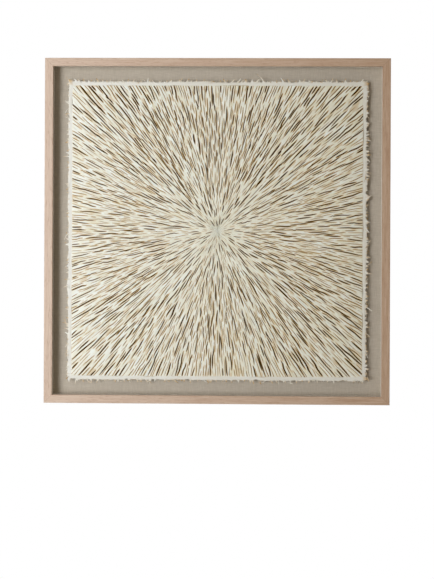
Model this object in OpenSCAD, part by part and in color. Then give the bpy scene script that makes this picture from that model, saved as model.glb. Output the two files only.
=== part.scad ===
// Deep box frame with a burst of cut paper strips floated over linen.
// X runs across, Z up, and the front faces -Y. Sizes are in millimetres.

/* [Frame] */
// Overall width of the frame
outer_w = 800; // [600:5:1000]
// Overall height of the frame
outer_h = 800; // [600:5:1000]
// Thickness of a rail's side wall
rail_wall = 13; // [12:0.5:20]
// Width of the rebate behind the front lip
rabbet_w = 6; // [5.5:0.5:10]
// Thickness of the front lip
lip_t = 5; // [3:0.5:8]
// Chamfer on the long edges of a rail
edge_chamfer = 0.8; // [0.2:0.1:1.5]

/* [Box and backing] */
// Depth from the front of the frame to the cloth
recess_depth = 30; // [24:1:45]
// Thickness of a spacer strip
spacer_t = 4.5; // [2:0.5:5]
// Thickness of the cloth
linen_t = 0.6; // [0.3:0.1:1.5]
// Thickness of the board under the cloth
board_t = 5; // [3:0.5:10]
// Thickness of the back panel
back_panel_t = 3; // [2:0.5:6]
// Room round the boards inside the rebate
board_clear = 1.5; // [0.5:0.1:3]
// Depth of the rails behind the back panel
back_gap = 7.4; // [6:0.1:15]

/* [Paper] */
// Cloth that shows between the frame and the border strips
linen_margin = 33.5; // [20:0.5:60]
// Thickness of the board that floats the paper
riser_t = 10; // [4:0.5:14]
// How far the riser stays inside the edge of the base sheet
riser_inset = 45; // [20:1:90]
// Thickness of the base sheet
sheet_t = 0.8; // [0.4:0.1:2]
// How far the base sheet shows beyond the border strips
sheet_reach = 2.5; // [2:0.1:6]
// Width of a border strip
border_w = 10.5; // [6:0.5:20]
// Thickness of a border strip
border_t = 3; // [1:0.1:5]
// Depth of the bites in a torn edge
tear_depth = 1.6; // [0.4:0.1:1.8]
// Spacing of the bites in a torn edge
tear_pitch = 11; // [6:0.5:30]
// Reach of the torn tip at each corner of the border
corner_tip = 2; // [0.5:0.1:4]

/* [Cut strips] */
// Height of the crests above the base sheet
crest_h = 8; // [4:0.5:9]
// Height of the crests along the border
edge_h = 4; // [2:0.5:6]
// Thickness of the paper left at the bottom of a slit
slit_floor = 1; // [0.5:0.1:1.5]
// Largest distance from a strip to the slit beside it
strip_pitch = 7.5; // [6.5:0.5:12]
// Half the length of a slit
slit_half_l = 22; // [20:1:40]
// Share of a cell by which the strips wander
scatter = 0.2; // [0:0.01:0.2]
// Gap between the strips and the border
paper_gap = 0.2; // [0.1:0.1:0.5]

/* [Corner nails and points] */
// Length of a nail's leg
nail_leg = 6; // [3:0.5:10]
// Thickness of a nail
nail_t = 0.6; // [0.4:0.1:1]
// Depth of a nail in the wood
nail_depth = 8; // [5:0.5:12]
// Distance from the frame's corner to the outer nail
nail_inset = 3; // [2:0.5:4]
// Distance between the two nails of a corner
nail_pitch = 5; // [3:0.5:6]
// Points on each side of the back panel
points_per_side = 4; // [2:1:6]
// Width of a point
point_w = 8; // [5:0.5:12]
// Thickness of a point
point_t = 0.6; // [0.4:0.1:1]
// Length of a point inside the wood
point_bite = 7; // [5:0.5:9]
// Length of a point over the back panel
point_reach = 11; // [6:0.5:20]
// Distance from the frame's corner to the first point
point_margin = 135; // [135:1:200]

/* [Hangers] */
// Width of a hanger
hanger_w = 10; // [9.5:0.1:11]
// Length of a hanger
hanger_l = 40; // [38:1:50]
// Thickness of a hanger
hanger_t = 1.5; // [1:0.1:2]
// Distance from the top of the frame to a hanger's middle
hanger_drop = 60; // [40:1:95]
// Diameter of the hole that takes the wall screw's head
keyhole_d = 7; // [6:0.1:7.5]
// Width of the slot that drops over the wall screw
keyslot_w = 3.6; // [3:0.1:4.2]
// Length of the slot above the hole
keyslot_l = 12; // [9:0.5:13]
// Distance from a hanger's middle down to its hole
keyhole_drop = 4; // [2:0.5:6]
// Width of the pocket behind a hanger
pocket_w = 9; // [8.5:0.1:9.2]
// Depth of the pocket behind a hanger
pocket_depth = 6; // [4:0.5:9]
// Diameter of a hanger screw
screw_d = 2.8; // [2.2:0.1:3.2]
// Diameter of a hanger screw's head
screw_head_d = 5.4; // [4.6:0.1:6]
// Length of a hanger screw
screw_l = 12; // [8:0.5:20]
// Room round nails, points, hangers and screws in the wood
fit_clear = 0.1; // [0.05:0.05:0.3]

/* [Wall bumpers] */
// Diameter of a bumper
bumper_d = 10; // [6:0.5:12]
// Thickness of a bumper
bumper_t = 2; // [1:0.5:5]
// Distance from the frame's side to a bumper's middle
bumper_inset = 40; // [20:1:90]

/* [Hidden] */
$fn = 48;

// The four sides, counted anticlockwise as seen from the front
BOTTOM = 0;
RIGHT = 1;
TOP = 2;
LEFT = 3;

// Depths are measured from the front of the frame towards the wall
rail_face = rail_wall + rabbet_w;
board_depth = recess_depth + linen_t;
back_panel_depth = board_depth + board_t;
point_depth = back_panel_depth + back_panel_t;
frame_depth = point_depth + back_gap;
sheet_depth = recess_depth - riser_t - sheet_t;
front_y = -(frame_depth + bumper_t) / 2;
back_y = front_y + frame_depth;
over = 1; // how far a cutter runs past the wood

board_w = outer_w - 2 * (rail_wall + board_clear);
board_h = outer_h - 2 * (rail_wall + board_clear);
border_outer_w = outer_w - 2 * (rail_face + linen_margin);
border_outer_h = outer_h - 2 * (rail_face + linen_margin);
sheet_w = border_outer_w + 2 * sheet_reach;
sheet_h = border_outer_h + 2 * sheet_reach;
relief_w = border_outer_w - 2 * (border_w + paper_gap);
relief_h = border_outer_h - 2 * (border_w + paper_gap);

// Rings of crests and pits: each ring has the first number of points, doubled as the rings widen
first_points = 12;
rings = round(min(relief_w, relief_h) / 2 / slit_half_l);

wood = "#D3B8A0";
spacer_cloth = "#B9AA98";
linen = "#B3A896";
card = "#E8E4DA";
paper = "#E9E4D2";
torn_paper = "#EFECDF";
hardboard = "#8A6A4C";
steel = "#B8BABD";
rubber = "#3A3A3A";

// Repeatable scatter from 0 to 1
function chance(i, seed) = let (v = sin(i * 127.1 + seed * 311.7) * 43758.5453) v - floor(v);

// Length of a side of a w by h rectangle, and the distance from its middle to that side
function side_l(side, w, h) = side % 2 == 0 ? w : h;
function side_offset(side, w, h) = side % 2 == 0 ? h / 2 : w / 2;

// A point given along a side and inward from it, in the whole rectangle's X and Z
function on_rect(p, side, w, h) =
    let (turn = -90 * side, inward = p[1] - side_offset(side, w, h))
    [p[0] * cos(turn) + inward * sin(turn), inward * cos(turn) - p[0] * sin(turn)];

// Draws children along a side: X along it, Z inward from it
module on_side(side, w, h) {
    rotate([0, -90 * side, 0]) translate([0, 0, -side_offset(side, w, h)]) children();
}

// Extrudes a flat shape in X and Z from one depth towards the wall
module slab(depth, thickness) {
    translate([0, front_y + depth + thickness, 0])
        rotate([90, 0, 0]) linear_extrude(height = thickness) children();
}

// A strip along a side with mitred ends, from one distance inward to another
module mitred(length, from, to) {
    polygon([
        [from - length / 2, from], [length / 2 - from, from],
        [length / 2 - to, to], [to - length / 2, to]
    ]);
}

// A round-ended plate in X and Z, from its back at y = 0 towards the front
module round_ended(w, z_low, z_high, thickness) {
    translate([-w / 2, -thickness, z_low]) cube([w, thickness, z_high - z_low]);
    for (z = [z_low, z_high])
        translate([0, 0, z]) rotate([90, 0, 0]) cylinder(h = thickness, d = w);
}

// Rails

module rail_blank(side) {
    length = side_l(side, outer_w, outer_h);
    intersection() {
        translate([-length / 2, front_y, 0]) rotate([90, 0, 90]) linear_extrude(height = length)
            polygon([
                [0, edge_chamfer], [edge_chamfer, 0],
                [frame_depth - edge_chamfer, 0], [frame_depth, edge_chamfer],
                [frame_depth, rail_wall], [lip_t, rail_wall],
                [lip_t, rail_face], [edge_chamfer, rail_face], [0, rail_face - edge_chamfer]
            ]);
        slab(-over, frame_depth + 2 * over) mitred(length, 0, rail_face);
    }
}

module frame_rail(side) {
    color(wood) difference() {
        on_side(side, outer_w, outer_h) rail_blank(side);
        for (corner = [side, (side + 3) % 4]) corner_pair(corner, fit_clear, over);
        side_points(side, fit_clear);
        if (side == LEFT) hanger_cut(-1);
        if (side == RIGHT) hanger_cut(1);
    }
}

// Two joining nails across the mitre that ends a side, grown by room and run past the back for a slot
module corner_pair(side, room, past) {
    length = side_l(side, outer_w, outer_h);
    for (inset = [nail_inset, nail_inset + nail_pitch]) {
        x = length / 2 - inset;
        on_side(side, outer_w, outer_h)
            slab(frame_depth - nail_depth - room, nail_depth + room + past)
            polygon([
                [x + room, inset - room], [x + room, inset + nail_leg + room],
                [x - nail_t - room, inset + nail_leg + room],
                [x - nail_t - room, inset + nail_t + room],
                [x - nail_leg - room, inset + nail_t + room], [x - nail_leg - room, inset - room]
            ]);
    }
}

module corner_nails() {
    color(steel) for (side = [BOTTOM:LEFT]) corner_pair(side, 0, 0);
}

// The flat points along one side, with their sharp ends in the wood
module side_points(side, room) {
    span = side_l(side, outer_w, outer_h) - 2 * point_margin;
    half = point_w / 2 + room;
    for (i = [0:points_per_side - 1])
        on_side(side, outer_w, outer_h)
            translate([span * (i / (points_per_side - 1) - 0.5), 0, 0])
            slab(point_depth - room, point_t + 2 * room)
            polygon([
                [-half, rail_wall + point_reach], [-half, rail_wall - point_bite + point_w / 2],
                [0, rail_wall - point_bite - 2 * room],
                [half, rail_wall - point_bite + point_w / 2], [half, rail_wall + point_reach]
            ]);
}

module retaining_points() {
    color(steel) for (side = [BOTTOM:LEFT]) side_points(side, 0);
}

// Hangers: sign is -1 on the left rail and 1 on the right

screw_offset = (hanger_l - hanger_w) / 2;
keyhole_z = -keyhole_drop;
keyslot_z = keyhole_z + keyslot_l;
pocket_room = (pocket_w - keyhole_d) / 2 - fit_clear;

module at_hanger(sign) {
    translate([sign * (outer_w - rail_wall) / 2, back_y, outer_h / 2 - hanger_drop]) children();
}

module at_hanger_screws() {
    for (z = [-screw_offset, screw_offset]) translate([0, 0, z]) rotate([-90, 0, 0]) children();
}

// Half section of a countersunk screw, its head flush at height 0, grown by room for a hole
function screw_section(room, above) =
    let (head = screw_head_d / 2 + room, shank = screw_d / 2 + room, taper = (screw_head_d - screw_d) / 2)
    concat(
        [[0, above]], above > 0 ? [[head, above]] : [],
        [[head, 0], [shank, -taper], [shank, screw_d - screw_l], [0, -screw_l - 2 * room]]
    );

module screw_hole() {
    rotate_extrude() polygon(screw_section(fit_clear, over));
}

module hanger_cut(sign) {
    at_hanger(sign) {
        translate([0, over, 0])
            round_ended(hanger_w + 2 * fit_clear, -screw_offset, screw_offset, hanger_t + over);
        round_ended(pocket_w, keyhole_z + pocket_room, keyslot_z - pocket_room, hanger_t + pocket_depth);
        at_hanger_screws() screw_hole();
    }
}

module hanger(sign) {
    color(steel) at_hanger(sign) difference() {
        round_ended(hanger_w, -screw_offset, screw_offset, hanger_t);
        translate([0, over, 0]) {
            round_ended(keyslot_w, keyhole_z, keyslot_z, hanger_t + 2 * over);
            translate([0, 0, keyhole_z]) rotate([90, 0, 0]) cylinder(h = hanger_t + 2 * over, d = keyhole_d);
        }
        at_hanger_screws() screw_hole();
    }
}

module hanger_screws() {
    slot_w = screw_d / 4;
    color(steel) for (sign = [-1, 1]) at_hanger(sign) at_hanger_screws() difference() {
        rotate_extrude() polygon(screw_section(0, 0));
        translate([-screw_head_d, -slot_w / 2, -slot_w]) cube([2 * screw_head_d, slot_w, slot_w + over]);
    }
}

module bumper(sign) {
    rim = bumper_t / 3;
    color(rubber)
        translate([sign * (outer_w / 2 - bumper_inset), back_y, (rail_wall - outer_h) / 2])
        rotate([-90, 0, 0]) rotate_extrude()
        polygon([
            [0, 0], [bumper_d / 2, 0], [bumper_d / 2, bumper_t - rim],
            [bumper_d / 2 - rim, bumper_t], [0, bumper_t]
        ]);
}

// Box and backing

module spacer(side) {
    color(spacer_cloth) on_side(side, outer_w, outer_h) slab(lip_t, recess_depth - lip_t)
        mitred(side_l(side, outer_w, outer_h), rail_wall, rail_wall + spacer_t);
}

module linen_cloth() {
    color(linen) slab(recess_depth, linen_t) square([board_w, board_h], center = true);
}

module mount_board() {
    color(card) slab(board_depth, board_t) square([board_w, board_h], center = true);
}

module back_panel() {
    color(hardboard) slab(back_panel_depth, back_panel_t) square([board_w, board_h], center = true);
}

module riser_board() {
    color(card) slab(recess_depth - riser_t, riser_t)
        square([sheet_w - 2 * riser_inset, sheet_h - 2 * riser_inset], center = true);
}

// Paper

// Torn line along a side from its start up to, but not including, its end
function torn_side(length, seed) =
    let (bites = max(4, round(length / tear_pitch)))
    [for (i = [0:bites - 1]) [length * (i / bites - 0.5), i == 0 ? 0 : tear_depth * chance(i, seed)]];

module base_sheet() {
    color(torn_paper) slab(sheet_depth, sheet_t)
        polygon([
            for (side = [BOTTOM:LEFT], p = torn_side(side_l(side, sheet_w, sheet_h), side + 1))
                on_rect(p, side, sheet_w, sheet_h)
        ]);
}

// A border strip has a straight inner edge, a torn outer edge and mitred ends with torn tips
module border_strip(side) {
    length = side_l(side, border_outer_w, border_outer_h);
    torn = torn_side(length, side + 11);
    color(torn_paper) on_side(side, border_outer_w, border_outer_h) slab(sheet_depth - border_t, border_t)
        polygon(concat(
            [[-length / 2 - corner_tip, -corner_tip]],
            [for (i = [1:len(torn) - 1]) torn[i]],
            [[length / 2 + corner_tip, -corner_tip]],
            [[length / 2 - border_w, border_w], [border_w - length / 2, border_w]]
        ));
}

// The cut strips are a net of crests round pits, drawn out along lines from the middle.
// Ring k holds ring_points(k) points, spaced evenly round a rectangle that grows with k.

function ring_points(k) =
    let (crowding = 2 * (relief_w + relief_h) * k / rings / (first_points * strip_pitch))
    first_points * pow(2, max(0, ceil(ln(crowding) / ln(2))));

// Points before ring k in the list, where the middle is the first
function ring_start(k) = k == 1 ? 1 : ring_start(k - 1) + ring_points(k - 1);

function wander(k, j, seed) = k == rings ? 0 : scatter * (2 * chance(j + 1000 * k, seed) - 1);

function crest(k, j) = (k + j) % 2 == 0;

function net_height(k, j) =
    let (top = k == rings ? edge_h : crest_h, luck = chance(j + 1000 * k, 5))
    crest(k, j) ? top * (0.8 + 0.2 * luck) : slit_floor + 0.25 * top * luck;

function net_point(k, j) =
    let (
        u = 4 * (j + wander(k, j, 3)) / ring_points(k),
        side = floor(u + 4) % 4,
        share = (k + wander(k, j, 4)) / rings,
        along = side_l(side, relief_w, relief_h) * (u - floor(u) - 0.5),
        p = on_rect([along, 0], side, relief_w, relief_h)
    )
    [share * p[0], -net_height(k, j), share * p[1]];

// Two triangles between neighbours on rings of equal count, split along the crest
function net_cell(k, j, a, b, c, d) = crest(k, j) ? [[a, b, d], [a, d, c]] : [[a, b, c], [b, d, c]];

// Triangles between ring k and the ring outside it
function net_band(k) =
    let (m = ring_points(k), n = ring_points(k + 1), inner = ring_start(k), outer = ring_start(k + 1))
    [
        for (j = [0:m - 1])
            let (a = inner + j, b = inner + (j + 1) % m)
            each n == m
                ? net_cell(k, j, a, b, outer + j, outer + (j + 1) % n)
                : [
                    [a, outer + 2 * j + 1, outer + 2 * j], [a, b, outer + 2 * j + 1],
                    [b, outer + (2 * j + 2) % n, outer + 2 * j + 1]
                ]
    ];

module paper_relief() {
    m = ring_points(rings);
    rim = ring_start(rings);
    foot = rim + m;
    under = foot + m;
    points = concat(
        [[0, -crest_h, 0]],
        [for (k = [1:rings], j = [0:ring_points(k) - 1]) net_point(k, j)],
        [for (j = [0:m - 1]) let (p = net_point(rings, j)) [p[0], 0, p[2]]],
        [[0, 0, 0]]
    );
    first = ring_points(1);
    faces = concat(
        [for (j = [0:first - 1]) [0, 1 + (j + 1) % first, 1 + j]],
        [for (k = [1:rings - 1]) each net_band(k)],
        [
            for (j = [0:m - 1])
                let (next = (j + 1) % m)
                each [
                    [rim + j, rim + next, foot + next], [rim + j, foot + next, foot + j],
                    [under, foot + j, foot + next]
                ]
        ]
    );
    color(paper) translate([0, front_y + sheet_depth, 0]) polyhedron(points, faces);
}

frame_rail(BOTTOM);  // frame_rail_bottom
frame_rail(RIGHT);  // frame_rail_right
frame_rail(TOP);  // frame_rail_top
frame_rail(LEFT);  // frame_rail_left
spacer(BOTTOM);  // spacer_bottom
spacer(RIGHT);  // spacer_right
spacer(TOP);  // spacer_top
spacer(LEFT);  // spacer_left
linen_cloth();
mount_board();
riser_board();
base_sheet();
paper_relief();
border_strip(BOTTOM);  // border_strip_bottom
border_strip(RIGHT);  // border_strip_right
border_strip(TOP);  // border_strip_top
border_strip(LEFT);  // border_strip_left
back_panel();
corner_nails();
retaining_points();
hanger(-1);  // hanger_left
hanger(1);  // hanger_right
hanger_screws();
bumper(-1);  // bumper_left
bumper(1);  // bumper_right
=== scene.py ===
"""Looks of a framed paper sunburst: a deep beech box frame, a linen margin and a relief of slit paper."""
import logging
import math
from dataclasses import dataclass
from enum import Enum
from typing import Any

import bpy
import numpy as np
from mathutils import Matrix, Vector


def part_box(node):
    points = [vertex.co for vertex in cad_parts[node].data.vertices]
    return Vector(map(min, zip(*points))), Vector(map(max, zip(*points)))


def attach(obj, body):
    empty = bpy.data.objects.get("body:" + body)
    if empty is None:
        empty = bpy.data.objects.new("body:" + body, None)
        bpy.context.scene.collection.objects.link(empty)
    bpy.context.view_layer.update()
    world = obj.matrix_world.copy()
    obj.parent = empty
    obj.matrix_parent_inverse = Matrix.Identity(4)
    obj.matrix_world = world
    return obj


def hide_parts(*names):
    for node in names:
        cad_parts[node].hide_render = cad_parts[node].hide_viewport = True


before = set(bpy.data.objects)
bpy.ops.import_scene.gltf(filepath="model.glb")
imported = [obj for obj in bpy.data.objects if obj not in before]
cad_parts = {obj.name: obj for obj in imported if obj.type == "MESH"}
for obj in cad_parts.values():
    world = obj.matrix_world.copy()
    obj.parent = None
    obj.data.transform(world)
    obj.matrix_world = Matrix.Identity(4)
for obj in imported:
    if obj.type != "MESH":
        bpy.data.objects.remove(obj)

MM = 0.001
IMAGE_H = 579
BODY = "root"
# Per-vertex colour value: tan of torn edges and stains, and painted shade that darkens the slits with their
# depth
STAIN_AND_SHADE = "slit_depth"
PAPER_TONE = "paper_tone"
WHITE = (1.0, 1.0, 1.0, 1.0)
# The columns of a line's mesh that are the lips and the feet of its slit
LEFT_LIP, LEFT_FOOT, RIGHT_FOOT, RIGHT_LIP = range(2, 6)
ACROSS_SLIT = slice(LEFT_LIP, RIGHT_LIP + 1)

log = logging.getLogger("paper_sunburst")


class Grain(Enum):
    """Which way a rail's wood fibres run."""

    ACROSS = "horizontal"
    UPRIGHT = "vertical"


@dataclass(frozen=True)
class Cut:
    """The range of one sort of slit, in metres."""

    length: tuple[float, float]
    half_w: tuple[float, float]
    depth: tuple[float, float]


class Slit(Enum):
    """The two sorts of slit in the burst: long ones that gape and short ones that hardly open."""

    BOLD = Cut((24 * MM, 66 * MM), (1.3 * MM, 1.85 * MM), (5.0 * MM, 6.5 * MM))
    FINE = Cut((14 * MM, 46 * MM), (0.34 * MM, 0.66 * MM), (3.4 * MM, 5.0 * MM))


@dataclass(frozen=True)
class Shred:
    """The range of one sort of torn end, in metres, how many a side has, and how blunt and bent they are."""

    count: int
    length: tuple[float, float]
    width: tuple[float, float]
    root: float
    tip: float
    bend: float


class Tear(Enum):
    """The sorts of torn end: broad blunt flakes, single fibres and a few long curls."""

    FLAKE = Shred(92, (5.6 * MM, 9.4 * MM), (5.0 * MM, 9.5 * MM), 6.4 * MM, 0.05, 0.3)
    FIBRE = Shred(90, (5.0 * MM, 9.0 * MM), (0.7 * MM, 1.4 * MM), 6.0 * MM, 0.1, 0.6)
    CURL = Shred(11, (10.0 * MM, 15.0 * MM), (3.0 * MM, 5.0 * MM), 6.4 * MM, 0.12, 0.5)


class Side(Enum):
    """A side of the square, counted anticlockwise as seen from the front."""

    BOTTOM = 0
    RIGHT = 1
    TOP = 2
    LEFT = 3

    @property
    def word(self) -> str:
        """The side's name as the frame's nodes spell it."""
        return self.name.lower()

    @property
    def grain(self) -> Grain:
        """Which way the side's rail runs."""
        return Grain.ACROSS if self in (Side.BOTTOM, Side.TOP) else Grain.UPRIGHT

    @property
    def over_end(self) -> int:
        """Which end of the side's torn strip lies over its neighbour: 1 or -1 along it, 0 for neither."""
        return {Side.BOTTOM: 1, Side.RIGHT: 0, Side.TOP: -1, Side.LEFT: -1}[self]

    @property
    def boldness(self) -> float:
        """How wide the side's slits are compared with those on the right."""
        return {Side.BOTTOM: 1.03, Side.RIGHT: 1.0, Side.TOP: 1.27, Side.LEFT: 0.87}[self]

    @property
    def fray(self) -> float:
        """How much of the full number of torn ends the side has."""
        return {Side.BOTTOM: 0.6, Side.RIGHT: 1.0, Side.TOP: 0.7, Side.LEFT: 0.6}[self]

    def place(self, along: np.ndarray, out: np.ndarray) -> tuple[np.ndarray, np.ndarray]:
        """Turns a place on this side into x and z.

        Args:
            along: Distance from the side's middle, anticlockwise.
            out: Distance from the centre of the square.

        Returns:
            The x and z coordinates.
        """
        turns = {
            Side.BOTTOM: (along, -out), Side.RIGHT: (out, along),
            Side.TOP: (-along, out), Side.LEFT: (-out, -along),
        }
        return turns[self]


def linear(hex_colour: str) -> tuple[float, float, float, float]:
    """Turns an sRGB hex colour into linear values.

    Args:
        hex_colour: Six hex digits after a hash.

    Returns:
        Red, green, blue and alpha.
    """
    shares = [int(hex_colour[i:i + 2], 16) / 255 for i in (1, 3, 5)]
    return (*[s / 12.92 if s <= 0.04045 else ((s + 0.055) / 1.055) ** 2.4 for s in shares], 1.0)


def add(
    tree: bpy.types.NodeTree,
    kind: str,
    settings: dict[str | int, Any] | None = None,
    links: dict[str | int, bpy.types.NodeSocket] | None = None,
) -> bpy.types.Node:
    """Adds a shader node with its settings and links.

    Args:
        tree: The material's node tree.
        kind: The node's type.
        settings: Values by the name of a property or the name or number of an input. The stops of a
            colour ramp are positions with their sRGB hex colours, from low to high.
        links: Output sockets by the name or number of the input they feed.

    Returns:
        The new node.
    """
    node = tree.nodes.new(kind)
    for name, value in (settings or {}).items():
        if name == "stops":
            elements = node.color_ramp.elements
            while len(elements) < len(value):
                elements.new(1.0)
            for element, (position, colour) in zip(elements, value):
                element.position = position
                element.color = linear(colour)
        elif isinstance(name, str) and hasattr(node, name):
            setattr(node, name, value)
        else:
            node.inputs[name].default_value = value
    for name, socket in (links or {}).items():
        tree.links.new(socket, node.inputs[name])
    return node


@dataclass(frozen=True)
class Finish:
    """A surface finish with a name, a roughness, and how strong and how high its fine relief is."""

    name: str
    roughness: float = 0.8
    relief: float = 0.3
    relief_h: float = 0.2 * MM

    def start(self) -> tuple[bpy.types.Material, bpy.types.NodeTree, bpy.types.Node]:
        """Makes a material with a bare shader.

        Returns:
            The material, its node tree and its shader node.
        """
        material = bpy.data.materials.new(self.name)
        material.use_nodes = True
        tree = material.node_tree
        tree.nodes.clear()
        shader = add(tree, "ShaderNodeBsdfPrincipled", {"Roughness": self.roughness})
        add(tree, "ShaderNodeOutputMaterial", links={"Surface": shader.outputs["BSDF"]})
        return material, tree, shader

    def stretched(
        self,
        tree: bpy.types.NodeTree,
        size: tuple[float, float, float],
        detail: float,
    ) -> bpy.types.NodeSocket:
        """Adds noise whose grains have a given size.

        Args:
            tree: The material's node tree.
            size: Length of a grain along x, y and z, in metres.
            detail: How many finer layers the noise has.

        Returns:
            The noise's value output.
        """
        where = add(tree, "ShaderNodeTexCoord").outputs["Object"]
        scaled = add(tree, "ShaderNodeMapping", {"Scale": [1 / s for s in size]}, {"Vector": where})
        noise = add(tree, "ShaderNodeTexNoise", {"Scale": 1.0, "Detail": detail},
                    {"Vector": scaled.outputs["Vector"]})
        return noise.outputs["Fac"]

    def sideways(
        self,
        tree: bpy.types.NodeTree,
        reach: float,
        left: float,
        right: float,
    ) -> bpy.types.NodeSocket:
        """Adds a value that changes evenly from the left to the right.

        Args:
            tree: The material's node tree.
            reach: How far the two ends are from the middle, in metres.
            left: The value at the left end.
            right: The value at the right end.

        Returns:
            The value's output.
        """
        where = add(tree, "ShaderNodeTexCoord").outputs["Object"]
        place = add(tree, "ShaderNodeSeparateXYZ", links={"Vector": where})
        change = add(tree, "ShaderNodeMapRange",
                     {"From Min": -reach, "From Max": reach, "To Min": left, "To Max": right},
                     {"Value": place.outputs["X"]})
        return change.outputs["Result"]

    def cover(
        self,
        tree: bpy.types.NodeTree,
        shader: bpy.types.Node,
        colour: bpy.types.NodeSocket,
        height: bpy.types.NodeSocket,
    ) -> None:
        """Gives the shader its colour and its fine relief.

        Args:
            tree: The material's node tree.
            shader: The shader node.
            colour: The output with the colour.
            height: The output with the height of the relief, from 0 to 1.
        """
        bump = add(tree, "ShaderNodeBump", {"Strength": self.relief, "Distance": self.relief_h},
                   {"Height": height})
        tree.links.new(colour, shader.inputs["Base Color"])
        tree.links.new(bump.outputs["Normal"], shader.inputs["Normal"])


@dataclass(frozen=True)
class Beech(Finish):
    """Pale steamed beech, planed and matt lacquered: pinkish, with short dark flecks along the grain."""

    grain: Grain = Grain.ACROSS
    tones: tuple[tuple[float, str], ...] = ((0.30, "#B49172"), (0.52, "#C1A184"), (0.72, "#CCB095"))
    streak: tuple[float, float] = (70 * MM, 2.6 * MM)
    # Painted highlight and painted light fall-off: a paler tint laid over the left end of every rail
    pale: str = "#F9EADC"
    painted_sheen_share: float = 0.25
    reach: float = 400 * MM
    fleck: tuple[float, float] = (14 * MM, 1.3 * MM)
    fleck_colour: str = "#A37B5E"
    fleck_from: float = 0.56
    fleck_full: float = 0.70
    fleck_share: float = 0.5
    glue_colour: str = "#7E5C44"
    glue_w: float = 0.7 * MM
    glue_share: float = 0.55
    roughness: float = 0.5
    relief: float = 0.25
    relief_h: float = 0.15 * MM

    def along(self, length: float, width: float) -> tuple[float, float, float]:
        """Gives a grain's size along x, y and z from its length and width."""
        return (length, width, width) if self.grain is Grain.ACROSS else (width, width, length)

    def make(self) -> bpy.types.Material:
        """Makes the material: streaks, a painted highlight and painted light fall-off that make the left end
        paler, flecks and the glue line of the mitres.

        Returns:
            The material.
        """
        material, tree, shader = self.start()
        streaks = self.stretched(tree, self.along(*self.streak), detail=4.0)
        tone = add(tree, "ShaderNodeValToRGB", {"stops": self.tones}, {"Fac": streaks})
        # Painted light: paler towards the left, where the key light is nearer and glances off the lacquer
        painted_light_fall = self.sideways(tree, self.reach, self.painted_sheen_share, 0.0)
        sheen_painted = add(tree, "ShaderNodeMixRGB", {"Color2": linear(self.pale)},
                       {"Fac": painted_light_fall, "Color1": tone.outputs["Color"]})
        # Beech rays are under 1 mm wide; they are drawn twice as coarse so that they show
        flecks = self.stretched(tree, self.along(*self.fleck), detail=2.0)
        fleck_mask = add(tree, "ShaderNodeMapRange",
                         {"From Min": self.fleck_from, "From Max": self.fleck_full,
                          "To Max": self.fleck_share}, {"Value": flecks})
        flecked = add(tree, "ShaderNodeMixRGB", {"Color2": linear(self.fleck_colour)},
                      {"Fac": fleck_mask.outputs["Result"], "Color1": sheen_painted.outputs["Color"]})
        # A mitre runs where x and z are equally far from the middle
        where = add(tree, "ShaderNodeTexCoord").outputs["Object"]
        place = add(tree, "ShaderNodeSeparateXYZ", links={"Vector": where})
        reach_x, reach_z = (
            add(tree, "ShaderNodeMath", {"operation": "ABSOLUTE"}, {0: place.outputs[axis]}).outputs[0]
            for axis in ("X", "Z")
        )
        off_mitre = add(tree, "ShaderNodeMath", {"operation": "SUBTRACT"}, {0: reach_x, 1: reach_z})
        gap = add(tree, "ShaderNodeMath", {"operation": "ABSOLUTE"}, {0: off_mitre.outputs[0]})
        glue = add(tree, "ShaderNodeMapRange",
                   {"From Max": self.glue_w, "To Min": self.glue_share, "To Max": 0.0},
                   {"Value": gap.outputs[0]})
        mitred = add(tree, "ShaderNodeMixRGB", {"Color2": linear(self.glue_colour)},
                     {"Fac": glue.outputs["Result"], "Color1": flecked.outputs["Color"]})
        self.cover(tree, shader, mitred.outputs["Color"], flecks)
        return material


@dataclass(frozen=True)
class Linen(Finish):
    """Plain-woven greige linen: uneven threads both ways, so it looks slubbed and quite matt."""

    dark: str = "#B1A796"
    mid: str = "#BAAF9E"
    light: str = "#C3BAAA"
    slub: float = 14 * MM
    thread: float = 0.8 * MM
    dark_at: float = 0.72
    light_at: float = 1.28
    nap: float = 0.15
    roughness: float = 0.95
    relief: float = 0.5
    relief_h: float = 0.4 * MM

    def make(self) -> bpy.types.Material:
        """Makes the material: slubs along both threads.

        Returns:
            The material.
        """
        material, tree, shader = self.start()
        # Linen threads are under 0.5 mm wide; they are drawn twice as coarse so that they show
        weft = self.stretched(tree, (self.slub, self.slub, self.thread), detail=2.0)
        warp = self.stretched(tree, (self.thread, self.slub, self.slub), detail=2.0)
        crossed = add(tree, "ShaderNodeMath", {"operation": "ADD"}, {0: weft, 1: warp}).outputs[0]
        threads = add(tree, "ShaderNodeMapRange", {"From Min": self.dark_at, "From Max": self.light_at},
                      {"Value": crossed})
        stops = [(0.0, self.dark), (0.5, self.mid), (1.0, self.light)]
        tone = add(tree, "ShaderNodeValToRGB", {"stops": stops}, {"Fac": threads.outputs["Result"]})
        shader.inputs["Sheen Weight"].default_value = self.nap
        self.cover(tree, shader, tone.outputs["Color"], crossed)
        return material


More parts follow.
